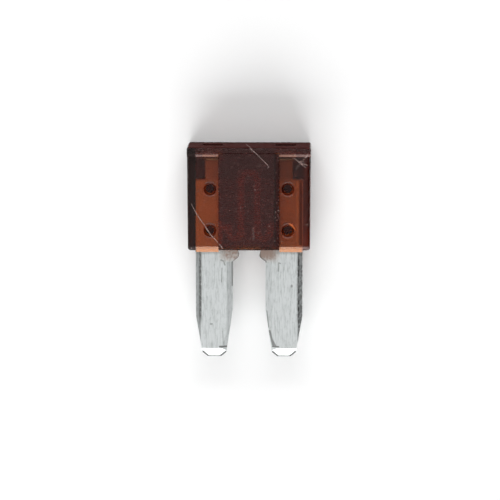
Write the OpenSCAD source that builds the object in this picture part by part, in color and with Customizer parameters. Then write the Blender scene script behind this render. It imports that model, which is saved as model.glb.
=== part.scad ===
// Two-blade automotive fuse of the smallest size class: a one-piece see-through moulding
// holds a one-piece stamping, whose two blades and fuse link are cut from a single zinc strip.
// The fuse lies on its back: X across the blades, +Y from the tips to the cap, +Z out of the
// front face. The origin is under the middle of the whole length, on the surface it lies on.

/* [Housing] */
// Width of the housing across its cap
housing_w = 9.0; // [8.6:0.1:10]
// Height of the housing from its foot to the top of the cap
housing_h = 7.75; // [7.5:0.05:9]
// Thickness of the housing at its cap and centre block
housing_t = 3.8; // [3.4:0.1:4.4]
// Mould draft of each side, as the width lost from cap to foot
side_draft = 0.055; // [0:0.005:0.12]
// Height of the cap band
cap_h = 0.45; // [0.35:0.05:0.8]
// Height of the slope that leads from the cap's edge down to the side panels
cap_slope_h = 0.27; // [0.1:0.01:0.4]
// Width of the raised centre block
block_w = 4.4; // [4:0.1:4.8]
// Height of the block's lower end above the foot
block_lift = 0.26; // [0.1:0.02:0.4]
// Height of the moulding's outer corners above the foot, which is the lips over the blades
corner_lift = 0.14; // [0.02:0.02:0.3]
// Depth of the side panels below the face of the block
panel_depth = 0.52; // [0.2:0.02:0.7]
// Height of the bevel along the foot of each side panel
foot_bevel_h = 0.44; // [0.2:0.02:0.6]
// Depth of the bevel along the foot of each side panel
foot_bevel_depth = 0.34; // [0.1:0.02:0.4]
// Radius of the foot's outer corners
foot_corner_r = 0.22; // [0.05:0.01:0.4]
// Bevel of the cap's upper corners and edges
cap_bevel = 0.12; // [0.02:0.01:0.2]
// Radius of the upright edges of the cap
cap_edge_r = 0.2; // [0.05:0.01:0.4]
// Radius of the upright edges of the side panels
panel_edge_r = 0.32; // [0.05:0.01:0.5]
// Radius of the upright edges of the centre block
block_edge_r = 0.1; // [0.02:0.01:0.2]
// Height of the fine groove between the cap and the block
groove_h = 0.08; // [0.04:0.01:0.2]
// Depth of the fine groove between the cap and the block
groove_depth = 0.05; // [0.02:0.01:0.1]

/* [Blades] */
// Distance between the centre lines of the two blades
blade_pitch = 5.1; // [5:0.05:5.3]
// Width of a blade
blade_w = 2.7; // [2.4:0.05:2.8]
// Thickness of the blades and of the plates inside the housing
blade_t = 0.8; // [0.6:0.05:1]
// Length of the blades below the housing
exposed_l = 7.85; // [6.5:0.05:9]
// Width of the bevel along each blade's outer edge
outer_bevel_w = 0.35; // [0.1:0.01:0.5]
// Depth of the bevel along each blade's outer edge
outer_bevel_depth = 0.16; // [0.05:0.01:0.25]
// Width of the bevel along each blade's inner edge
inner_bevel_w = 0.44; // [0.1:0.01:0.6]
// Depth of the bevel along each blade's inner edge
inner_bevel_depth = 0.1; // [0.05:0.01:0.25]
// Length of the taper on a blade's outer edge, measured from the end
outer_taper_l = 3.0; // [1.5:0.1:4]
// Length of the taper on a blade's inner edge, measured from the end
inner_taper_l = 3.5; // [1.5:0.1:4.5]
// Width of a blade at the lower end of its taper
tip_w = 1.74; // [1.3:0.02:2]
// Width of a blade's flat end
tip_end_w = 1.0; // [0.6:0.05:1.2]
// Height of the bevelled corners of a blade's end
tip_corner_h = 0.32; // [0.1:0.02:0.5]
// Length of the bevel that thins a blade towards its end
tip_bevel_l = 0.62; // [0.4:0.02:1]
// Depth of the bevel that thins a blade towards its end
tip_bevel_depth = 0.24; // [0.05:0.01:0.28]
// Length of the facet that widens along a blade's inner taper towards the end
facet_l = 1.9; // [1:0.1:2.4]
// Width of that facet at its lower end
facet_w = 0.42; // [0.1:0.02:0.5]
// Slope of that facet from the blade's flat
facet_slope = 14; // [10:1:35]

/* [Tie Bar Stubs] */
// How far a stub of the cut tie bar stands out beside its blade
stub_reach = 0.45; // [0.2:0.01:0.6]
// How much less it stands out where it leaves the housing
stub_neck = 0.1; // [0.02:0.01:0.15]
// Depth of the stub's widest place below the foot
stub_corner_drop = 0.44; // [0.3:0.02:0.6]
// Depth below the foot at which the stub runs out into the blade's edge
stub_drop = 0.8; // [0.7:0.02:1.2]
// Bevel of the stub's corner
stub_bevel = 0.07; // [0.02:0.01:0.12]

/* [Plates Inside the Housing] */
// Height above the foot at which a plate's inner edge steps away from the link
root_h = 0.43; // [0.3:0.01:0.5]
// Gap between the two plates beside the link's turns
turn_gap = 3.96; // [3.8:0.02:4.1]
// Gap between the two plates above the link's necks
strip_gap = 4.3; // [4.2:0.02:4.6]
// Height above the foot at which the plates step from one gap to the other
waist_h = 2.25; // [2.1:0.05:2.7]
// Height above the foot of the shoulders that carry the test strips
shoulder_h = 5.31; // [5.1:0.01:5.7]
// Width of the test strip that rises from each shoulder
strip_w = 1.02; // [0.6:0.02:1.3]
// Height above the foot of the upper end of the test strips
strip_h = 6.7; // [6.1:0.05:6.9]

/* [Fuse Link] */
// Width of the fuse link
link_w = 0.45; // [0.3:0.01:0.5]
// Thickness of the fuse link, which is thinned from the strip
link_t = 0.4; // [0.2:0.05:0.6]
// Distance from the centre line of the fuse to each long leg of the link
leg_x = 0.6; // [0.5:0.02:0.64]
// Distance from the centre line of the fuse to each short arm of the link
arm_x = 1.5; // [1.42:0.02:1.54]
// Height above the foot of the outside of the link's lower turns
turn_h = 0.69; // [0.65:0.01:0.75]
// Height above the foot of the top of the link's arch
arch_h = 6.0; // [5.5:0.05:6.3]
// Height above the foot of the upper edge of the necks that join the link to the plates
neck_h = 2.0; // [1.94:0.02:2.1]

/* [Stakes] */
// Distance from the centre line of the fuse to the stakes
stake_x = 2.83; // [2.7:0.01:3]
// Height of the lower pair of stakes above the foot
lower_stake_h = 1.61; // [1.3:0.01:2.1]
// Height of the upper pair of stakes above the foot
upper_stake_h = 4.65; // [4:0.05:4.8]
// Diameter of the holes in the plates that the stakes pass through
stake_hole_d = 0.72; // [0.66:0.01:0.8]
// Diameter of the pit that the staking tool leaves, at the surface
pit_d = 0.94; // [0.8:0.01:1.1]
// Diameter of the pit's flat floor
pit_floor_d = 0.62; // [0.5:0.01:0.7]
// Depth of the pit
pit_depth = 0.3; // [0.1:0.02:0.5]

/* [Openings] */
// Width of the test window above each strip
window_w = 1.5; // [1.3:0.05:1.7]
// Thickness of the test window, from front to back
window_t = 1.0; // [0.9:0.05:1.4]
// Space between the stamping and the walls of its pocket
slot_clearance = 0.05; // [0.02:0.01:0.08]
// Space between a stake and the hole it passes through
stake_clearance = 0.04; // [0.02:0.01:0.05]

/* [Hidden] */
$fn = 64;

// Overshoot of a cutting shape past the face that it opens
cut = 1;

overall_l = exposed_l + housing_h;
top_y = overall_l / 2;
tip_y = -overall_l / 2;
foot_y = tip_y + exposed_l;

half_w = housing_w / 2;
half_t = housing_t / 2;
panel_z = half_t - panel_depth;
cap_y = top_y - cap_h;
panel_top_y = cap_y - cap_slope_h;
block_y = foot_y + block_lift;
corner_y = foot_y + corner_lift;

blade_x = blade_pitch / 2;
outer_x = blade_x + blade_w / 2;
inner_x = blade_x - blade_w / 2;
half_blade_t = blade_t / 2;

root_y = foot_y + root_h;
strip_y = foot_y + strip_h;
strip_inner_x = strip_gap / 2;
strip_x = strip_inner_x + strip_w / 2;

arch_r = leg_x + link_w / 2;
arch_y = foot_y + arch_h - arch_r;
turn_x = (leg_x + arm_x) / 2;
turn_r = (arm_x - leg_x + link_w) / 2;
turn_y = foot_y + turn_h + turn_r;
neck_y = foot_y + neck_h;

pocket_t = blade_t + 2 * slot_clearance;
stake_ys = [foot_y + lower_stake_h, foot_y + upper_stake_h];

// A profile drawn as (y, z), drawn out evenly to both sides of the centre line
module across(width) {
    translate([-width / 2, 0, 0])
        rotate([90, 0, 90])
            linear_extrude(width)
                children();
}

// A profile drawn as (x, z), drawn out from y0 to y1
module lengthwise(y0, y1) {
    translate([0, y1, 0])
        rotate([90, 0, 0])
            linear_extrude(y1 - y0)
                children();
}

// A plan drawn as (x, y), given a thickness that is centred on the fuse's middle plane
module plate(thickness) {
    translate([0, 0, -thickness / 2])
        linear_extrude(thickness)
            children();
}

// The shape and its mirror image on the other side of the centre line
module both_sides() {
    children();
    mirror([1, 0, 0]) children();
}

// The shape and its mirror image on the other face
module both_faces() {
    children();
    mirror([0, 0, 1]) children();
}

// A rectangle with rounded corners, centred
module rounded_rect(width, height, r) {
    square([width - 2 * r, height], center = true);
    square([width, height - 2 * r], center = true);
    for (x = [-1, 1], y = [-1, 1])
        translate([x * (width / 2 - r), y * (height / 2 - r)])
            circle(r);
}

// A strip of metal from one point on its centre line to another, upright
module upright(x, y0, y1, width) {
    translate([x - width / 2, y0])
        square([width, y1 - y0]);
}

// Half of a round turn, with its open side up (side = 1) or down (side = -1)
module half_turn(x, y, r, width, side) {
    translate([x, y])
        difference() {
            circle(r);
            circle(r - width);
            translate([-2 * r, side > 0 ? 0 : -2 * r])
                square([4 * r, 2 * r]);
        }
}

// Plan of the moulding: drafted sides, bevelled cap corners, rounded foot corners, and the
// lips that reach down over the blades
module housing_plan() {
    foot_half_w = half_w - side_draft;
    polygon([
        [-foot_half_w + foot_corner_r, corner_y], [foot_half_w - foot_corner_r, corner_y],
        [foot_half_w, corner_y + foot_corner_r], [half_w, top_y - cap_bevel],
        [half_w - cap_bevel, top_y], [-half_w + cap_bevel, top_y],
        [-half_w, top_y - cap_bevel], [-foot_half_w, corner_y + foot_corner_r],
    ]);
    both_sides() {
        translate([foot_half_w - foot_corner_r, corner_y + foot_corner_r])
            circle(foot_corner_r);
        translate([block_w / 2, foot_y])
            square([outer_x - block_w / 2, corner_lift + foot_corner_r]);
    }
}

// Side view of the moulding beside the block: cap, slope, panel and bevelled foot
module panel_profile() {
    foot_z = panel_z - foot_bevel_depth;
    polygon([
        [foot_y, -foot_z], [foot_y + foot_bevel_h, -panel_z],
        [panel_top_y, -panel_z], [cap_y, -half_t],
        [top_y - cap_bevel, -half_t], [top_y, -half_t + cap_bevel],
        [top_y, half_t - cap_bevel], [top_y - cap_bevel, half_t],
        [cap_y, half_t], [panel_top_y, panel_z],
        [foot_y + foot_bevel_h, panel_z], [foot_y, foot_z],
    ]);
}

module cap_and_panels() {
    intersection() {
        plate(housing_t) housing_plan();
        across(housing_w) panel_profile();
        union() {
            lengthwise(panel_top_y, top_y)
                rounded_rect(housing_w, housing_t, cap_edge_r);
            lengthwise(foot_y, cap_y)
                rounded_rect(housing_w, 2 * panel_z, panel_edge_r);
        }
    }
}

module centre_block() {
    lengthwise(block_y, top_y - cap_h / 2)
        rounded_rect(block_w, housing_t, block_edge_r);
}

// The fine line across each face, where the block meets the cap
module block_grooves() {
    both_faces()
        across(block_w)
            polygon([
                [cap_y - groove_h / 2, half_t], [cap_y, half_t - groove_depth],
                [cap_y + groove_h / 2, half_t], [cap_y, half_t + groove_depth],
            ]);
}

// The pocket that the stamping is pushed into from below, open at the foot
module stamping_pocket() {
    c = slot_clearance;
    plate(pocket_t) {
        translate([-outer_x - c, foot_y - cut])
            square([2 * (outer_x + c), shoulder_h + c + cut]);
        both_sides()
            upright(strip_x, foot_y, strip_y + c, strip_w + 2 * c);
        translate([-arch_r - c, foot_y])
            square([2 * (arch_r + c), arch_h + c]);
    }
}

// Openings in the top, through which a probe reaches the test strips
module test_windows() {
    both_sides()
        translate([strip_x - window_w / 2, strip_y, -window_t / 2])
            cube([window_w, top_y - strip_y + cut, window_t]);
}

// Plastic that was pressed through the holes of the plates and joins both walls
module stakes() {
    d = stake_hole_d - 2 * stake_clearance;
    both_sides()
        for (y = stake_ys)
            translate([stake_x, y, -pocket_t])
                cylinder(d = d, h = 2 * pocket_t);
}

// The pits that the staking tool leaves in both faces
module stake_pits() {
    spread = (pit_d - pit_floor_d) / pit_depth;
    both_faces()
        both_sides()
            for (y = stake_ys)
                translate([stake_x, y, panel_z - pit_depth])
                    cylinder(d1 = pit_floor_d, d2 = pit_d + spread * groove_depth,
                             h = pit_depth + groove_depth);
}

module housing() {
    color([0.35, 0.15, 0.1, 0.8])
        translate([0, 0, half_t])
            difference() {
                union() {
                    cap_and_panels();
                    centre_block();
                }
                block_grooves();
                test_windows();
                stake_pits();
                difference() {
                    stamping_pocket();
                    stakes();
                }
            }
}

// Plan of a blade below the housing: straight, then tapered, with bevelled end corners
module blade_plan() {
    shoulder = tip_w / 2;
    tip_end = tip_end_w / 2;
    polygon([
        [inner_x, root_y], [inner_x, tip_y + inner_taper_l],
        [blade_x - shoulder, tip_y + tip_corner_h], [blade_x - tip_end, tip_y],
        [blade_x + tip_end, tip_y], [blade_x + shoulder, tip_y + tip_corner_h],
        [outer_x, tip_y + outer_taper_l], [outer_x, root_y],
    ]);
}

// Cross-section of a blade: two flats with a bevel along every edge
module blade_section() {
    outer_z = half_blade_t - outer_bevel_depth;
    inner_z = half_blade_t - inner_bevel_depth;
    polygon([
        [inner_x, -inner_z], [inner_x + inner_bevel_w, -half_blade_t],
        [outer_x - outer_bevel_w, -half_blade_t], [outer_x, -outer_z],
        [outer_x, outer_z], [outer_x - outer_bevel_w, half_blade_t],
        [inner_x + inner_bevel_w, half_blade_t], [inner_x, inner_z],
    ]);
}

// Side view of a blade: both flats run down to the bevels of its end
module blade_profile() {
    tip_z = half_blade_t - tip_bevel_depth;
    polygon([
        [tip_y, -tip_z], [tip_y + tip_bevel_l, -half_blade_t], [root_y, -half_blade_t],
        [root_y, half_blade_t], [tip_y + tip_bevel_l, half_blade_t], [tip_y, tip_z],
    ]);
}

// A cutting block for the facet on a blade's inner taper. It slopes down and out from a line
// that starts on the edge and ends facet_w inside it, at a ledge where the end's bevel begins.
module taper_facet() {
    edge_run = (blade_w - tip_w) / 2 / (inner_taper_l - tip_corner_h);
    start_x = blade_w / 2 - edge_run * (inner_taper_l - tip_bevel_l - facet_l);
    end_x = blade_w / 2 - edge_run * (inner_taper_l - tip_bevel_l) - facet_w;
    turn = atan2(start_x - end_x, facet_l);
    translate([blade_x - end_x, tip_y + tip_bevel_l, half_blade_t])
        mirror([1, 0, 0])
            rotate([0, 0, -turn])
                rotate([0, facet_slope, 0])
                    cube([blade_w, blade_w + facet_l, blade_t]);
}

module blade() {
    difference() {
        intersection() {
            plate(blade_t) blade_plan();
            lengthwise(tip_y, root_y) blade_section();
            across(2 * outer_x) blade_profile();
        }
        both_faces() taper_facet();
    }
}

// What the punch leaves of the tie bar that joined both blades until assembly
module tie_bar_stub() {
    tear_x = inner_x - stub_reach;
    corner = foot_y - stub_corner_drop;
    plate(blade_t)
        polygon([
            [inner_x + inner_bevel_w, root_y], [tear_x + stub_neck, root_y],
            [tear_x + stub_neck, foot_y], [tear_x, corner + stub_bevel],
            [tear_x + stub_bevel, corner - stub_bevel], [inner_x, foot_y - stub_drop],
            [inner_x + inner_bevel_w, foot_y - stub_drop],
        ]);
}

// The plate inside the housing, with its test strip and the holes for two stakes
module inner_plate() {
    difference() {
        plate(blade_t) {
            translate([turn_gap / 2, foot_y])
                square([outer_x - turn_gap / 2, waist_h]);
            translate([strip_inner_x, foot_y])
                square([outer_x - strip_inner_x, shoulder_h]);
            upright(strip_x, foot_y, strip_y, strip_w);
        }
        for (y = stake_ys)
            translate([stake_x, y, -blade_t])
                cylinder(d = stake_hole_d, h = 2 * blade_t);
    }
}

// The link: an arch on two long legs, which turn back up at the foot and join the plates
module fuse_link() {
    plate(link_t) {
        half_turn(0, arch_y, arch_r, link_w, -1);
        both_sides() {
            upright(leg_x, turn_y, arch_y, link_w);
            half_turn(turn_x, turn_y, turn_r, link_w, 1);
            upright(arm_x, turn_y, neck_y, link_w);
            translate([arm_x, neck_y - link_w])
                square([strip_inner_x - arm_x, link_w]);
        }
    }
}

module blade_element() {
    color([0.78, 0.8, 0.8])
        translate([0, 0, half_t]) {
            both_sides() {
                blade();
                tie_bar_stub();
                inner_plate();
            }
            fuse_link();
        }
}

housing();
blade_element();
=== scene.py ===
"""A small automotive blade fuse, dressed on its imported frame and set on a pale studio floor."""

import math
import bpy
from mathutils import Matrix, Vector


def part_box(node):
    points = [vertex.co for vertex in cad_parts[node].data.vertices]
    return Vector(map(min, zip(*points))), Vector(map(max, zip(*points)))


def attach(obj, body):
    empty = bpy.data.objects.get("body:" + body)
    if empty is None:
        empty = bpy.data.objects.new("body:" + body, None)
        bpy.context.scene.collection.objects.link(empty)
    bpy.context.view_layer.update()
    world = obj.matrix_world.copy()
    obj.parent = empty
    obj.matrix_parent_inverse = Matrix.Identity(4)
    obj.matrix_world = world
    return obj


bl_info = {
    "name": "Small Blade Fuse",
    "version": (1, 0, 0),
    "blender": (4, 5, 0),
    "location": "View3D > Sidebar > Fuse",
    "description": "Dresses a small plug-in fuse: see-through moulding, zinc blades and wear",
    "category": "Object",
}

import bpy
from mathutils import Matrix, Vector

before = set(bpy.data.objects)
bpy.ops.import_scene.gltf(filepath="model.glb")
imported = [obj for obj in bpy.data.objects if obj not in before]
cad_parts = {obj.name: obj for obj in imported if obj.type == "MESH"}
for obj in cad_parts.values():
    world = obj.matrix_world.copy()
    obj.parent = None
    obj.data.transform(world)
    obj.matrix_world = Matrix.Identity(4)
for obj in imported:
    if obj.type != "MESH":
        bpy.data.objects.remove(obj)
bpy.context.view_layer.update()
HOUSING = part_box("housing")
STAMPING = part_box("blade_element")

# Places on the fuse are in millimetres, as in the part's source
MM = 0.001
TOP_Y = HOUSING[1].y / MM
FOOT_Y = HOUSING[0].y / MM
TIP_Y = STAMPING[0].y / MM
OUTER_X = STAMPING[1].x / MM
# Face of the centre block and the cap, middle plane, and face of the side panels
FRONT_Z = HOUSING[1].z / MM
MIDDLE_Z = FRONT_Z / 2
PANEL_Z = MIDDLE_Z + 1.38
# Half the width of the block, lower edge of the cap, and foot of the slope below it
BLOCK_X = 2.2
CAP_Y = TOP_Y - 0.45
SLOPE_Y = TOP_Y - 0.72
# Upper ends of the foot's bevel, of the plates' shoulders and of the test strips
BEVEL_Y = FOOT_Y + 0.44
SHOULDER_Y = FOOT_Y + 5.31
STRIP_Y = FOOT_Y + 6.7
# Outer edge of the test strips
STRIP_X = 3.17
# The stakes, and the radii of their pits and of the pits' floors
STAKE_X = 2.83
STAKE_YS = (FOOT_Y + 1.61, FOOT_Y + 4.65)
PIT_R = 0.47
PIT_FLOOR_R = 0.31
# Inner border of the bevel along a blade's outer edge
BEVEL_X = OUTER_X - 0.33


class Value:
    """One output of a shader node, which takes part in Python's sums."""

    def __init__(self, tree, socket):
        self.tree = tree
        self.socket = socket

    def maths(self, operation, *others):
        values = dict(enumerate((self, *others)))
        return self.tree.node("ShaderNodeMath", {"operation": operation}, values)

    def vector(self, operation, other, output=0):
        return self.tree.node("ShaderNodeVectorMath", {"operation": operation},
                              {0: self, 1: other}, output)

    def __add__(self, other):
        return self.maths("ADD", other)

    __radd__ = __add__

    def __mul__(self, other):
        return self.maths("MULTIPLY", other)

    __rmul__ = __mul__

    def __sub__(self, other):
        return self.maths("SUBTRACT", other)

    def __rsub__(self, other):
        return self.tree.node("ShaderNodeMath", {"operation": "SUBTRACT"}, {0: other, 1: self})

    def __abs__(self):
        return self.maths("ABSOLUTE")

    def rise(self, low, high):
        """0 below low and 1 above high, with a soft passage; the other way round if low > high."""
        flip = low > high
        ends = {1: min(low, high), 2: max(low, high), 3: float(flip), 4: float(not flip)}
        return self.tree.node("ShaderNodeMapRange", {"interpolation_type": "SMOOTHSTEP"},
                              {0: self, **ends})

    def above(self, edge, soft):
        """1 above an edge, with a passage that is soft to both sides of it."""
        return self.rise(edge - soft, edge + soft)

    def below(self, edge, soft):
        """1 below an edge, with a passage that is soft to both sides of it."""
        return self.rise(edge + soft, edge - soft)

    def hard(self):
        """A soft mask with its passage cut short, so that it is full almost up to its border."""
        return self.rise(0.0, 0.1)


class Tree:
    """The node tree of one material or of the world."""

    def __init__(self, owner):
        owner.use_nodes = True
        self.tree = owner.node_tree
        self.tree.nodes.clear()

    def node(self, kind, settings=None, inputs=None, output=0):
        """Adds a node, makes its settings, fills its sockets and returns one of its outputs."""
        made = self.tree.nodes.new(kind)
        for name, setting in (settings or {}).items():
            setattr(made, name, setting)
        for name, value in (inputs or {}).items():
            if isinstance(value, Value):
                self.tree.links.new(value.socket, made.inputs[name])
            else:
                made.inputs[name].default_value = value
        return Value(self, made.outputs[output]) if len(made.outputs) else None

    def place(self, scale=(1, 1, 1), turn=(0, 0, 0)):
        """Object coordinates in millimetres, scaled along each axis and turned."""
        coords = self.node("ShaderNodeTexCoord", output="Object")
        return self.node("ShaderNodeMapping", {"vector_type": "POINT"},
                         {"Vector": coords, "Rotation": turn,
                          "Scale": [part / MM for part in scale]})

    def noise(self, scale, detail=2.0, roughness=0.5, turn=(0, 0, 0)):
        """Fractal noise, with a scale in grains per millimetre along each axis."""
        return self.node("ShaderNodeTexNoise", None,
                         {"Vector": self.place(scale, turn), "Scale": 1.0,
                          "Detail": detail, "Roughness": roughness})

    def axes(self):
        """The three coordinates in millimetres, as numbers."""
        place = self.place()
        return [self.node("ShaderNodeSeparateXYZ", None, {0: place}, axis) for axis in "XYZ"]

    def facing(self):
        """1 where the surface faces the front or the back, 0 on upright walls."""
        normal = self.node("ShaderNodeTexCoord", output="Normal")
        return abs(self.node("ShaderNodeSeparateXYZ", None, {0: normal}, "Z")).rise(0.05, 0.2)

    def tint(self, share, one, other):
        """A colour between one (share 0) and other (share 1)."""
        return self.node("ShaderNodeMix", {"data_type": "RGBA"}, {0: share, 6: one, 7: other}, 2)

    def coats(self, base, *coats):
        """A colour with coats of (mask, colour) laid over it in turn."""
        for mask, coat in coats:
            base = self.tint(mask, base, coat)
        return base

    def bump(self, height, strength, depth):
        """A normal from a height, which stands for a depth in millimetres."""
        return self.node("ShaderNodeBump", None,
                         {"Strength": strength, "Distance": depth * MM, "Height": height})

    def stroke(self, start, end, width):
        """1 on the line from start to end, which are given as (x, y), and 0 beyond width."""
        a = Vector((*start, 0))
        along = Vector((*end, 0)) - a
        from_a = self.place((1, 1, 0)).vector("SUBTRACT", a)
        share = from_a.vector("DOT_PRODUCT", along, "Value") * (1 / along.length_squared)
        share = share.maths("MAXIMUM", 0.0).maths("MINIMUM", 1.0)
        nearest = self.node("ShaderNodeVectorMath", {"operation": "SCALE"}, {0: along, 3: share})
        return from_a.vector("DISTANCE", nearest, "Value").rise(width, 0.3 * width)

    def strokes(self, marks):
        """The strongest of several strokes, each given as (start, end, width, strength)."""
        drawn = None
        for start, end, width, strength in marks:
            mark = self.stroke(start, end, width) * strength
            drawn = mark if drawn is None else drawn.maths("MAXIMUM", mark)
        return drawn

    def finish(self, surface, volume=None):
        links = {"Surface": surface}
        if volume is not None:
            links["Volume"] = volume
        self.node("ShaderNodeOutputMaterial", None, links)


def dress(piece, material):
    piece.data.materials.clear()
    piece.data.materials.append(material)


def colour(rgb, strength=1.0):
    """A colour for a socket, darkened to a share of its strength."""
    return (*(strength * part for part in rgb), 1.0)


class HousingSettings(bpy.types.PropertyGroup):
    """The see-through moulding."""

    clear: bpy.props.FloatVectorProperty(
        name="Surface colour", description="Colour of the moulding where it is very thin",
        subtype="COLOR", size=3, default=(0.96, 0.93, 0.92), min=0, max=1)
    absorbed: bpy.props.FloatVectorProperty(
        name="Absorption", description="Red, green and blue light lost, per metre",
        size=3, default=(640.0, 1560.0, 2750.0), min=0)
    roughness: bpy.props.FloatProperty(
        name="Roughness", description="Blur of what shows through the moulding",
        default=0.17, min=0, max=1, subtype="FACTOR")
    ior: bpy.props.FloatProperty(
        name="Index of refraction", description="How strongly the plastic bends light",
        default=1.38, min=1, max=2)
    gloss: bpy.props.FloatProperty(
        name="Gloss", description="Strength of the reflections on the clear plastic",
        default=0.42, min=0, max=1, subtype="FACTOR")
    haze: bpy.props.FloatVectorProperty(
        name="Haze", description="Colour of the light that the plastic itself scatters",
        subtype="COLOR", size=3, default=(0.72, 0.14, 0.12), min=0, max=1)
    # Painted light: the peach glow laid over the foot's bevel, which stands for the light of the
    # blades seen through the thin plastic there.
    lip: bpy.props.FloatVectorProperty(
        name="Foot bevel", description="Colour that the thin foot scatters over the blades",
        subtype="COLOR", size=3, default=(0.95, 0.42, 0.2), min=0, max=1)
    # Painted light: the glow laid over the bright plates and the glint beside the lower right
    # stake.
    glow: bpy.props.FloatVectorProperty(
        name="Glow", description="Colour that the plastic scatters over the bright plates",
        subtype="COLOR", size=3, default=(0.9, 0.22, 0.06), min=0, max=1)
    # Painted highlight and wear: this colour, darkened, is the pale line painted along the slope
    # below the cap. It also colours the specks, the rubbed streak and the painted highlight arcs
    # round the stakes, and at a twentieth of its strength the painted shade along the rims.
    wear_and_highlight: bpy.props.FloatVectorProperty(
        name="Worn slope", description="Colour of the rubbed slope below the cap",
        subtype="COLOR", size=3, default=(0.36, 0.23, 0.21), min=0, max=1)


class ZincSettings(bpy.types.PropertyGroup):
    """The drawn zinc strip."""

    bright: bpy.props.FloatVectorProperty(
        name="Bright zinc", description="Colour of the clean strip",
        subtype="COLOR", size=3, default=(0.83, 0.865, 0.865), min=0, max=1)
    # Also the colour of the painted shade just below the foot.
    dull_and_shade: bpy.props.FloatVectorProperty(
        name="Dull zinc", description="Colour in the drawing lines and marks",
        subtype="COLOR", size=3, default=(0.42, 0.45, 0.44), min=0, max=1)
    shielded: bpy.props.FloatVectorProperty(
        name="Shielded zinc", description="Colour of the strip inside the moulding",
        subtype="COLOR", size=3, default=(0.9, 0.88, 0.86), min=0, max=1)
    # Painted shade: this colour darkens the zinc of the test strips, more on the right.
    deep: bpy.props.FloatVectorProperty(
        name="Test strips", description="Colour that darkens the deep test strips",
        subtype="COLOR", size=3, default=(0.2, 0.2, 0.2), min=0, max=1)
    stain: bpy.props.FloatVectorProperty(
        name="Stain", description="Colour of the stain that spreads from the cut tie bar",
        subtype="COLOR", size=3, default=(0.36, 0.28, 0.24), min=0, max=1)
    # Also the colour of painted shade: the shadow under the step at the tips, the shaded inner
    # facet of the right blade, and the darker right bevel.
    soot_and_shade: bpy.props.FloatVectorProperty(
        name="Dark marks", description="Colour of the dark marks and of the bevels' borders",
        subtype="COLOR", size=3, default=(0.1, 0.1, 0.095), min=0, max=1)
    roughness: bpy.props.FloatProperty(
        name="Roughness", description="Roughness of the clean strip",
        default=0.38, min=0, max=1, subtype="FACTOR")


class WearSettings(bpy.types.PropertyGroup):
    """Scratches and specks on the moulding."""

    width: bpy.props.FloatProperty(
        name="Scratch width", description="Width of the burr along a scratch",
        default=0.075 * MM, min=0, unit="LENGTH", precision=5)
    shade: bpy.props.FloatVectorProperty(
        name="Burr colour", description="Colour of the whitened plastic in a scratch",
        subtype="COLOR", size=3, default=(0.6, 0.44, 0.41), min=0, max=1)


class StageSettings(bpy.types.PropertyGroup):
    """Floor, lamps, room and camera."""

    floor: bpy.props.FloatVectorProperty(
        name="Floor", description="Colour of the floor",
        subtype="COLOR", size=3, default=(0.98, 0.98, 0.98), min=0, max=1)
    overhead: bpy.props.FloatProperty(
        name="Overhead light", description="Brightness of the softbox over the fuse",
        default=0.58, min=0)
    key: bpy.props.FloatProperty(
        name="Key light", description="Brightness of the softbox at the tips' side",
        default=4.2, min=0)
    fill: bpy.props.FloatProperty(
        name="Fill light", description="Brightness of the softbox at the cap's side",
        default=4.3, min=0)
    left: bpy.props.FloatProperty(
        name="Room at the left", description="Brightness of the room's left side",
        default=0.14, min=0)
    right: bpy.props.FloatProperty(
        name="Room at the right", description="Brightness of the room's right side",
        default=0.03, min=0)
    horizon: bpy.props.FloatProperty(
        name="Horizon", description="Brightness of the pale band low round the room",
        default=0.8, min=0)
    distance: bpy.props.FloatProperty(
        name="Camera distance", description="Distance from the camera to the fuse",
        default=0.247, min=0.05, unit="LENGTH")
    tilt: bpy.props.FloatProperty(
        name="Camera tilt", description="Lean of the camera towards the cap",
        default=math.radians(8), subtype="ANGLE")
    turn: bpy.props.FloatProperty(
        name="Camera turn", description="Lean of the camera to the right",
        default=math.radians(1.2), subtype="ANGLE")


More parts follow.
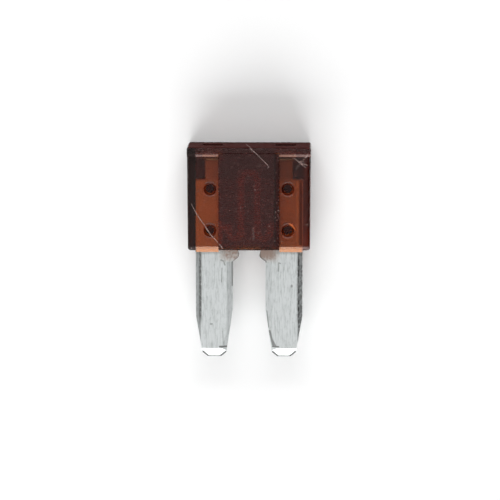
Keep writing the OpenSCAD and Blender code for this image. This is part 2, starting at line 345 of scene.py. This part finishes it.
class MouldingPlaces:
    """Masks, 0 to 1, of the places where the moulding's surface is partly matt: its own haze and
    wear, and painted highlights, glow and shade.
    """

    def __init__(self, tree):
        x, y, z = tree.axes()
        aside = abs(x)
        self.waves = tree.noise((0.42, 0.42, 0.42), 1.0)
        self.grain = tree.noise((9, 9, 9), 3.0, 0.6)
        self.haze = tree.noise((2.6, 16, 9), 3.0, 0.65, (0, 0, math.radians(38))).rise(0.52, 0.78)
        self.specks = tree.noise((7.5, 7.5, 7.5), 1.0).rise(0.66, 0.74)
        self.rub = tree.stroke((0.33, 1.9), (0.35, 1.05), 0.11)
        self.right = x.above(0.0, 0.5)
        self.block = aside.below(BLOCK_X, 0.04).maths("MAXIMUM", y.above(CAP_Y, 0.03))
        self.top = y.above(TOP_Y - 0.065, 0.035)
        self.find_slope(y)
        self.find_pits(y, aside)
        self.find_plates(x, y, aside)
        self.find_lips(y, z, aside)
        self.find_rims(tree, x, y, z)

    def find_slope(self, y):
        """The slope below the cap, which gets a painted highlight that is paler along its lower
        half.
        """
        self.slope = (1.0 - self.block) * y.above(SLOPE_Y, 0.04) * y.below(CAP_Y - 0.01, 0.04)
        self.lower_slope_highlight = self.slope * y.below(CAP_Y - 0.13, 0.04) * (0.5 + self.grain)

    def find_pits(self, y, aside):
        """The stakes' pits, which get painted shade, the painted highlight arcs round them, and
        the painted glint beside the lower right one.
        """
        out = aside - STAKE_X
        along = abs(y - (STAKE_YS[0] + STAKE_YS[1]) / 2) - (STAKE_YS[1] - STAKE_YS[0]) / 2
        radius = (out * out + along * along).maths("SQRT")
        self.pit = radius.below(PIT_R, 0.03)
        self.wall = self.pit * radius.above(PIT_R - 0.075, 0.035)
        self.pit_floor = radius.below(PIT_FLOOR_R, 0.03)
        # Painted highlight arcs above and below each pit
        ring = radius.above(PIT_R + 0.005, 0.025) * radius.below(PIT_R + 0.095, 0.035)
        self.crescent = ring * abs(along).above(0.38, 0.08)
        # Painted glint beside the lower right pit
        ring = radius.above(PIT_R - 0.035, 0.035) * radius.below(PIT_R + 0.11, 0.04)
        upper_right = (out - along).above(0.59, 0.09) * self.right
        self.glint = ring * upper_right * y.rise(STAKE_YS[1], STAKE_YS[0])

    def find_plates(self, x, y, aside):
        """The panels over the bright plates, which get a painted glow for the light of the plates,
        and the painted shade that dims it towards the right edge.
        """
        shoulder = y.below(SHOULDER_Y, 0.05) * aside.below(OUTER_X - 0.01, 0.05)
        strip = y.above(SHOULDER_Y, 0.05) * y.below(STRIP_Y, 0.05) * aside.below(STRIP_X, 0.05)
        panel = aside.above(BLOCK_X + 0.01, 0.05) * y.above(BEVEL_Y + 0.01, 0.05)
        self.plate = (shoulder + strip * 0.7) * panel * (1.0 - self.pit)
        # Painted shade dims the glow at the outer edge of the right plates
        self.fade = self.plate * x.above(OUTER_X - 0.325, 0.175)

    def find_lips(self, y, z, aside):
        """The bevelled lips over the blades, which get a painted peach glow for the light of the
        blades through the thin foot, stronger towards the foot.
        """
        lip = y.below(BEVEL_Y - 0.005, 0.035) * aside.above(BLOCK_X + 0.01, 0.05)
        lip = lip * aside.below(OUTER_X - 0.025, 0.075)
        self.lip = lip * abs(z - MIDDLE_Z).above(1.01, 0.05)
        self.thin = y.below(FOOT_Y + 0.26, 0.16)

    def find_rims(self, tree, x, y, z):
        """Painted shade along the borders: the block's foot and right side, the left rim, and the
        back of the top.
        """
        foot = self.block * y.below(FOOT_Y + 0.47, 0.15)
        side = x.above(BLOCK_X - 0.27, 0.13) * x.below(BLOCK_X, 0.04) * y.below(CAP_Y - 0.06, 0.09)
        self.block_rim = (foot * 0.3).maths("MAXIMUM", side)
        self.left_rim = x.below(-OUTER_X, 0.05) * (1.0 - self.top) * tree.facing()
        self.back_edge = self.top * z.below(0.35, 0.2)

    def tone(self, tree, settings):
        """The colour of the matt places, with painted highlights, glow and shade among them; the
        painted shade has hard borders.
        """
        wear_and_highlight = colour(settings.wear_and_highlight)
        dark = colour(settings.haze, 0.06)
        # Painted shade: the cap's top face, the stakes' pits and the outer edge of the right
        # plates take a dark tone
        shaded = self.top.hard().maths("MAXIMUM", self.pit).maths("MAXIMUM", self.fade)
        rims = self.left_rim.maths("MAXIMUM", self.back_edge)
        return tree.coats(
            colour(settings.haze),
            # Painted peach glow over the foot's bevel
            (self.lip, colour(settings.lip)),
            # Painted glow over the bright plates
            (self.plate, colour(settings.glow)),
            # Painted shade along the block's foot and right side
            (self.block_rim.hard(), dark),
            # Painted highlight along the slope below the cap, paler on its lower half, and painted
            # highlight arcs round the pits
            (self.slope, colour(settings.wear_and_highlight, 0.35)),
            (self.lower_slope_highlight.maths("MAXIMUM", self.crescent), wear_and_highlight),
            (self.specks.maths("MAXIMUM", self.rub), wear_and_highlight),
            # Painted shade on the top face, the pits and the plates' outer edge
            (shaded, dark),
            # Painted shade along the left rim and the back of the top face
            (rims.hard(), colour(settings.wear_and_highlight, 0.05)),
            # Painted glint beside the lower right stake
            (self.glint, colour(settings.glow)))

    def share(self):
        """How much of the surface is matt."""
        shares = [
            (self.block, 0.032), (self.haze, 0.012), (self.slope, 0.55),
            (self.specks, 0.22), (self.rub, 0.12), (self.glint, 0.26),
            (self.crescent, 0.1 + self.right * 0.12),
            (self.pit, 0.25), (self.wall, 0.35), (self.pit_floor, 0.2),
            (self.plate, (0.1 - self.right * 0.045) * (0.6 + self.waves * 0.8)),
            (self.lip, (0.27 + self.thin * 0.17) * (0.8 + self.grain * 0.4)),
            (self.fade, 0.35), (self.block_rim, 0.5), (self.left_rim, 0.72),
        ]
        total = sum(place * share for place, share in shares)
        # Painted shade: the cap's top face is almost wholly matt, with a dark tone
        return total.maths("MAXIMUM", self.top * 0.97).maths("MINIMUM", 1.0)


def see_through_plastic(settings):
    """Tinted clear plastic: the colour comes from its depth, and the matt places, with painted
    highlights, glow and shade among them, come from its surface.
    """
    material = bpy.data.materials.new("brown plastic")
    tree = Tree(material)
    places = MouldingPlaces(tree)
    height = places.waves + places.grain * 0.008 + places.haze * 0.01
    clear = tree.node("ShaderNodeBsdfPrincipled", None, {
        "Base Color": colour(settings.clear),
        "Roughness": places.haze * 0.1 + places.block * 0.1 + settings.roughness,
        "IOR": settings.ior, "Specular IOR Level": settings.gloss,
        "Transmission Weight": 1.0, "Normal": tree.bump(height, 0.35, 0.02)})
    matt = tree.node("ShaderNodeBsdfPrincipled", None, {
        "Base Color": places.tone(tree, settings), "Roughness": places.top * 0.35 + 0.6,
        "Specular IOR Level": 0.055})
    surface = tree.node("ShaderNodeMixShader", None, {0: places.share(), 1: clear, 2: matt})
    density = max(settings.absorbed)
    passed = [1 - lost / density for lost in settings.absorbed]
    volume = tree.node("ShaderNodeVolumeAbsorption", None,
                       {"Color": colour(passed), "Density": density})
    tree.finish(surface, volume)
    return material


# Dark marks on the faces of the strip, some of them painted shade, as (start, end, width,
# strength)
DARK_MARKS = [
    ((-2.84, -5.38), (-2.72, -5.38), 0.07, 0.6), ((3.11, -2.52), (3.11, -2.58), 0.12, 0.6),
    ((2.15, -0.84), (2.14, -1.44), 0.07, 0.5), ((2.15, -0.84), (2.29, -0.88), 0.07, 0.5),
    ((-1.99, -1.23), (-2.02, -2.26), 0.05, 0.5), ((-2.06, -0.64), (-1.88, -0.71), 0.08, 0.5),
    ((-1.88, -0.71), (-1.77, -1.0), 0.07, 0.5), ((-1.22, -0.8), (-1.22, -2.5), 0.1, 0.7),
    # Painted shadow under the step at the upper end of the tips' bevels
    ((-2.16, -7.06), (-1.66, -7.05), 0.09, 0.8), ((1.72, -7.06), (2.14, -7.05), 0.08, 0.8),
    ((-0.74, -0.1), (-0.74, -0.42), 0.13, 0.6), ((-0.76, -0.42), (-1.18, -0.76), 0.11, 0.6),
    ((0.74, -0.1), (0.74, -0.42), 0.18, 0.7), ((0.76, -0.42), (1.18, -0.76), 0.15, 0.7),
    # Painted shade: both strokes on this line are the shaded inner facet of the right blade
    ((1.5, -5.9), (1.78, -7.0), 0.13, 0.7), ((1.66, -6.5), (1.92, -7.0), 0.11, 0.7),
    ((-1.94, -5.9), (-1.9, -6.9), 0.05, 0.4), ((1.3, -4.4), (1.42, -5.6), 0.06, 0.5),
]

# Outlines of both blades' ends, which are darker than the other marks
TIP_OUTLINES = [
    ((side * start[0], start[1]), (side * end[0], end[1]), width, strength)
    for side in (-1, 1)
    for start, end, width, strength in (
        ((3.41, -7.48), (3.05, -7.8), 0.23, 0.95), ((3.05, -7.8), (2.05, -7.8), 0.14, 0.88),
        ((2.05, -7.8), (1.69, -7.48), 0.23, 0.95))
]


class StripPlaces:
    """Masks, 0 to 1, of the lines, marks and stains on the zinc strip, and of the painted shade on
    it.
    """

    def __init__(self, tree):
        x, y, _ = tree.axes()
        aside = abs(x)
        self.right = x.above(0.0, 0.5)
        self.inside = y.above(FOOT_Y + 0.07, 0.05)
        self.strips = y.above(FOOT_Y + 5.25, 0.35)
        self.find_dullness(tree, y)
        self.find_soot(tree, y, aside)
        self.find_stain(tree, y, aside)

    def find_dullness(self, tree, y):
        """Lengthwise drawing lines and mottle, with painted shade just below the foot."""
        self.lines = tree.noise((11, 1.1, 3.6), 3.0, 0.6)
        self.streaks = tree.noise((3, 0.26, 1), 2.0)
        mottle = tree.noise((4.6, 2.4, 3.6), 4.0, 0.65)
        # Painted shade just below the foot
        under_foot = y.above(FOOT_Y - 0.24, 0.1) * y.below(FOOT_Y + 0.02, 0.04)
        dull_and_shade = self.lines.rise(0.4, 0.72) * 0.5 + self.streaks.rise(0.5, 0.85) * 0.25
        dull_and_shade = dull_and_shade + mottle.rise(0.48, 0.72) * 0.32 + under_foot * 0.55
        self.dull_and_shade = dull_and_shade.maths("MINIMUM", 1.0) * (1.0 - self.inside * 0.8)

    def find_soot(self, tree, y, aside):
        """Grit on the outer bevels and along their borders, with painted shade making the right
        bevel darker, the dark marks, some of them painted shade, and the outlines.
        """
        grit = tree.noise((7, 3.2, 7), 3.0, 0.6)
        border = abs(aside - BEVEL_X).below(0.09, 0.04) * grit.rise(0.3, 0.5)
        border = border * y.above(TIP_Y + 2.7, 0.5)
        bevel = aside.above(BEVEL_X, 0.03) * grit.rise(0.44, 0.58)
        # Painted shade makes the right bevel darker than the left
        soot_and_shade = border * (0.72 - self.right * 0.3) + bevel * (0.12 + self.right * 0.36)
        facing = tree.facing()
        soot_and_shade = soot_and_shade.maths("MAXIMUM", tree.strokes(DARK_MARKS) * facing)
        self.soot_and_shade = soot_and_shade * (1.0 - self.inside)
        self.outlines = tree.strokes(TIP_OUTLINES) * facing

    def find_stain(self, tree, y, aside):
        """The stain round the stubs of the tie bar, with a ragged border and spots."""
        self.blotch = tree.noise((1.5, 1.5, 1.5), 3.0, 0.6)
        near_foot = (y + self.blotch * 0.5).above(FOOT_Y - 0.425, 0.325)
        inner = (aside + self.blotch * 0.5).below(2.225, 0.525)
        spots = tree.noise((5.2, 5.2, 5.2), 3.0, 0.6).rise(0.42, 0.62)
        stain = near_foot * inner * (0.6 + self.right * 0.35 + spots * 0.5)
        self.stain = stain.maths("MINIMUM", 1.0)


def drawn_zinc(settings):
    """Zinc strip with fine lengthwise drawing lines, darker and rougher marks, painted shade below
    the foot, at the test strips and on the right blade, and a stain at the tie bar.
    """
    material = bpy.data.materials.new("drawn zinc")
    tree = Tree(material)
    places = StripPlaces(tree)
    shade = tree.coats(
        colour(settings.bright),
        (places.dull_and_shade, colour(settings.dull_and_shade)),
        (places.inside, colour(settings.shielded)),
        # Painted shade over the test strips, more on the right
        (places.strips * (0.45 + places.right * 0.3), colour(settings.deep)),
        (places.stain, colour(settings.stain)),
        (places.soot_and_shade, colour(settings.soot_and_shade)),
        (places.outlines, colour(settings.soot_and_shade, 0.3)))
    covered = (places.stain * 0.6).maths("MAXIMUM", places.inside * 0.8)
    roughness = places.dull_and_shade * 0.15 + places.stain * 0.2 + places.inside * 0.14
    height = places.lines * 0.5 + places.streaks * 0.4 + places.blotch * places.stain
    tree.finish(tree.node("ShaderNodeBsdfPrincipled", None, {
        "Base Color": shade, "Metallic": 1.0 - covered,
        "Roughness": roughness + settings.roughness, "Normal": tree.bump(height, 0.5, 0.01)}))
    return material


def whitened_plastic(settings):
    """Plastic that a scratch has torn up, which scatters the light."""
    material = bpy.data.materials.new("scratched plastic")
    tree = Tree(material)
    broken = tree.noise((9, 9, 9)).rise(0.35, 0.7)
    shade = tree.tint(broken, colour(settings.shade, 0.45), colour(settings.shade))
    tree.finish(tree.node("ShaderNodeBsdfPrincipled", None,
                          {"Base Color": shade, "Roughness": 0.55}))
    return material


def deselect_all():
    if bpy.context.object is not None and bpy.context.object.mode != "OBJECT":
        bpy.ops.object.mode_set(mode="OBJECT")
    bpy.ops.object.select_all(action="DESELECT")


class FUSE_OT_housing(bpy.types.Operator):
    """Give the moulding its see-through brown plastic"""

    bl_idname = "fuse.dress_housing"
    bl_label = "Dress Housing"

    def execute(self, context):
        dress(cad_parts["housing"], see_through_plastic(context.scene.fuse_housing))
        return {"FINISHED"}


class FUSE_OT_stamping(bpy.types.Operator):
    """Give the stamping its drawn zinc"""

    bl_idname = "fuse.dress_stamping"
    bl_label = "Dress Stamping"

    def execute(self, context):
        dress(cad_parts["blade_element"], drawn_zinc(context.scene.fuse_zinc))
        return {"FINISHED"}


def on(height, *points):
    """Points of a scratch that stays on one face."""
    return [(x, y, height) for x, y in points]


# Scratches and specks of the moulding: how wide each is for its kind, and its way
SCRATCHES = [
    (1.0, [(-0.28, 7.8, 1.4), (0.09, 7.8, 3.69),
           *on(FRONT_Z, (0.16, 7.7), (0.53, 7.37), (0.96, 6.94), (1.33, 6.58), (1.46, 6.4),
               (1.36, 6.3))]),
    (0.9, on(PANEL_Z, (-4.2, 3.66), (-3.85, 2.95), (-3.41, 2.32), (-3.08, 1.82), (-2.76, 1.34),
             (-2.39, 0.94), (-2.24, 0.76))),
    (1.0, on(FRONT_Z, (-2.14, 0.77), (-1.99, 0.55), (-1.89, 0.4))),
    (1.1, on(PANEL_Z, (3.16, 7.06), (3.42, 6.88), (3.64, 6.71), (3.94, 6.57), (4.26, 6.46))),
    (1.0, [*on(PANEL_Z, (3.8, 6.7), (4.1, 7.01)), (4.23, 7.2, PANEL_Z + 0.23),
           *on(FRONT_Z, (4.28, 7.37), (4.08, 7.57))]),
    (0.6, on(PANEL_Z, (3.74, 6.64), (3.58, 6.38), (3.43, 6.13))),
    (1.0, on(PANEL_Z, (3.66, 6.7), (3.88, 6.48), (4.12, 6.32))),
    (1.2, on(PANEL_Z, (3.6, 6.66), (3.8, 6.78), (4.04, 6.68))),
    (0.9, [(4.12, 2.12, PANEL_Z), (4.25, 2.12, PANEL_Z - 0.02), (4.36, 2.12, PANEL_Z - 0.07)]),
    *((1.0, on(FRONT_Z, (x, y), (x + 0.05, y + 0.05))) for x, y in (
        (0.44, 4.69), (-0.62, 3.37), (1.45, 2.06), (1.92, 3.08), (2.12, 3.19))),
    *((1.2, on(PANEL_Z, (x, y), (x + 0.05, y + 0.04))) for x, y in (
        (2.36, 4.34), (3.36, 5.66), (-4.21, 0.35), (2.36, 0.86))),
]


# Share of its width that a burr keeps at its ends
PINCH = 0.5


class FUSE_OT_scratches(bpy.types.Operator):
    """Raise the burrs of the scratches on the moulding"""

    bl_idname = "fuse.raise_scratches"
    bl_label = "Raise Scratches"

    def execute(self, context):
        wear = context.scene.fuse_wear
        piece = self.empty_mesh()
        for share, way in SCRATCHES:
            self.raise_burr([Vector(point) * MM for point in way], share * wear.width / 2)
        bpy.ops.mesh.select_all(action="SELECT")
        bpy.ops.mesh.normals_make_consistent(inside=False)
        bpy.ops.object.mode_set(mode="OBJECT")
        piece.name = "scratches"
        piece.data.name = piece.name
        bpy.ops.object.transform_apply(location=True, rotation=True, scale=True)
        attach(piece, "root")
        dress(piece, whitened_plastic(wear))
        return {"FINISHED"}

    @staticmethod
    def empty_mesh():
        """An object in the middle of the fuse, in edit mode and with nothing in its mesh."""
        deselect_all()
        bpy.ops.mesh.primitive_circle_add(vertices=3, location=(0, 0, MIDDLE_Z * MM))
        bpy.ops.object.mode_set(mode="EDIT")
        bpy.ops.mesh.select_all(action="SELECT")
        bpy.ops.mesh.delete(type="VERT")
        return bpy.context.object

    @staticmethod
    def raise_burr(points, radius):
        """One burr: a three-sided section, drawn along the points and pinched at both ends."""
        start = points[0]
        first = points[1] - start
        heading = math.atan2(first.y, first.x)
        bpy.ops.mesh.primitive_circle_add(
            vertices=3, radius=radius, fill_type="NGON",
            location=start, rotation=(math.pi / 2, 0, heading + math.pi / 2))
        bpy.ops.transform.resize(value=[PINCH] * 3, center_override=start)
        here = start
        for number, point in enumerate(points[1:], 2):
            grow = 1 / PINCH if number == 2 else PINCH if number == len(points) else 1.0
            bpy.ops.mesh.extrude_region_move(TRANSFORM_OT_translate={"value": point - here})
            bpy.ops.transform.resize(value=[grow] * 3, center_override=point)
            here = point


# Softboxes in metres: name, place, width and height, and whether the box stands upright
SOFTBOXES = [
    ("overhead", (0, 0, 1.6), (2.0, 2.0), False),
    ("key", (-0.2, -1.6, 1.0), (2.4, 1.8), True),
    ("fill", (0, 1.6, 1.0), (2.4, 1.0), True),
]

# The floor's radius in metres, and how its rim rises and widens, step by step
FLOOR_R = 2.4
RIM_STEPS = [(0.02, 1.05), (0.08, 1.04), (0.2, 1.02), (0.4, 1.01)]

# The picture: its width, its scale at the fuse, and how far its middle is off the fuse's,
# to the right and upwards, in pixels
PICTURE_WIDTH = 500
PIXELS_PER_METRE = 13653
OFF_MIDDLE = (0.75, 0.72)


class FUSE_OT_stage(bpy.types.Operator):
    """Lay the floor, hang the softboxes and set up the camera"""

    bl_idname = "fuse.set_stage"
    bl_label = "Set Stage"

    def execute(self, context):
        stage = context.scene.fuse_stage
        self.floor(stage)
        for name, place, size, upright in SOFTBOXES:
            self.softbox(name, place, size, upright, getattr(stage, name))
        self.world(context.scene, stage)
        self.camera(context.scene, stage)
        context.scene.view_settings.view_transform = "Standard"
        return {"FINISHED"}

    @staticmethod
    def floor(stage):
        """A round floor whose rim rises into a low wall."""
        deselect_all()
        bpy.ops.mesh.primitive_circle_add(vertices=96, radius=FLOOR_R, fill_type="NGON")
        floor = bpy.context.object
        bpy.ops.object.mode_set(mode="EDIT")
        bpy.ops.mesh.select_mode(type="EDGE")
        bpy.ops.mesh.select_all(action="SELECT")
        for rise, grow in RIM_STEPS:
            bpy.ops.mesh.extrude_edges_move(TRANSFORM_OT_translate={"value": (0, 0, rise)})
            bpy.ops.transform.resize(value=(grow, grow, 1), center_override=(0, 0, 0))
        bpy.ops.object.mode_set(mode="OBJECT")
        floor.name = "floor"
        material = bpy.data.materials.new("pale floor")
        tree = Tree(material)
        mottle = tree.noise((0.04, 0.04, 0.04))
        shade = tree.tint(mottle, colour(stage.floor), colour(stage.floor, 0.985))
        tree.finish(tree.node("ShaderNodeBsdfPrincipled", None, {
            "Base Color": shade, "Roughness": 0.9, "Specular IOR Level": 0.0}))
        dress(floor, material)

    @staticmethod
    def softbox(name, place, size, upright, brightness):
        """A soft lamp that faces the fuse or stands upright, and has an even brightness."""
        width, height = size
        lamp = bpy.data.lights.new(name + " softbox", "AREA")
        lamp.shape = "RECTANGLE"
        lamp.size = width
        lamp.size_y = height
        lamp.energy = math.pi * width * height * brightness
        box = bpy.data.objects.new(lamp.name, lamp)
        box.location = place
        aim = Vector(place) - Vector((0, 0, place[2] if upright else 0))
        box.rotation_euler = aim.to_track_quat("Z", "Y").to_euler()
        box.visible_camera = False
        bpy.context.scene.collection.objects.link(box)

    @staticmethod
    def world(scene, stage):
        """A dim room, lighter on the left than on the right, and palest at the horizon."""
        scene.world = bpy.data.worlds.new("studio room")
        tree = Tree(scene.world)
        way = tree.node("ShaderNodeTexCoord", output="Generated")
        side = tree.node("ShaderNodeSeparateXYZ", None, {0: way}, "X")
        up = tree.node("ShaderNodeSeparateXYZ", None, {0: way}, "Z")
        left, right, horizon = (
            colour([level] * 3) for level in (stage.left, stage.right, stage.horizon))
        air = tree.coats(left, (side.rise(-0.5, 0.5), right), (up.rise(0.42, 0.16), horizon))
        back = tree.node("ShaderNodeBackground", None, {"Color": air, "Strength": 1.0})
        tree.node("ShaderNodeOutputWorld", None, {"Surface": back})

    @staticmethod
    def camera(scene, stage):
        """The photograph's view: nearly square on, leaning a little to the cap."""
        tilt, turn = stage.tilt, stage.turn
        towards = Vector((math.sin(turn) * math.cos(tilt), math.sin(tilt),
                          math.cos(turn) * math.cos(tilt)))
        right = Vector((math.cos(turn), 0, -math.sin(turn)))
        up = towards.cross(right)
        aim = Vector((0, 0, MIDDLE_Z * MM))
        aim += (right * OFF_MIDDLE[0] + up * OFF_MIDDLE[1]) / PIXELS_PER_METRE
        lens = bpy.data.cameras.new("camera")
        lens.sensor_width = 36.0
        lens.lens = lens.sensor_width * PIXELS_PER_METRE * stage.distance / PICTURE_WIDTH
        lens.clip_start = 0.01
        lens.clip_end = 20.0
        camera = bpy.data.objects.new("camera", lens)
        camera.location = aim + towards * stage.distance
        camera.rotation_euler = Matrix((right, up, towards)).transposed().to_euler()
        scene.collection.objects.link(camera)
        scene.camera = camera


class FUSE_PT_panel(bpy.types.Panel):
    """The fuse's pieces and stage, in the sidebar of the 3D view"""

    bl_idname = "FUSE_PT_panel"
    bl_label = "Small Blade Fuse"
    bl_space_type = "VIEW_3D"
    bl_region_type = "UI"
    bl_category = "Fuse"

    def draw(self, context):
        for group, operator in OPERATORS.items():
            settings = getattr(context.scene, group)
            self.layout.operator(operator.bl_idname)
            for name in settings.__annotations__:
                self.layout.prop(settings, name)


GROUPS = {"fuse_housing": HousingSettings, "fuse_zinc": ZincSettings,
          "fuse_wear": WearSettings, "fuse_stage": StageSettings}
OPERATORS = {"fuse_housing": FUSE_OT_housing, "fuse_zinc": FUSE_OT_stamping,
             "fuse_wear": FUSE_OT_scratches, "fuse_stage": FUSE_OT_stage}
CLASSES = [*GROUPS.values(), *OPERATORS.values(), FUSE_PT_panel]


def register():
    for made in CLASSES:
        bpy.utils.register_class(made)
    for name, group in GROUPS.items():
        setattr(bpy.types.Scene, name, bpy.props.PointerProperty(type=group))


def unregister():
    for name in GROUPS:
        delattr(bpy.types.Scene, name)
    for made in reversed(CLASSES):
        bpy.utils.unregister_class(made)


def main():
    register()
    bpy.ops.fuse.dress_housing()
    bpy.ops.fuse.dress_stamping()
    bpy.ops.fuse.raise_scratches()
    bpy.ops.fuse.set_stage()


if __name__ == "__main__":
    main()
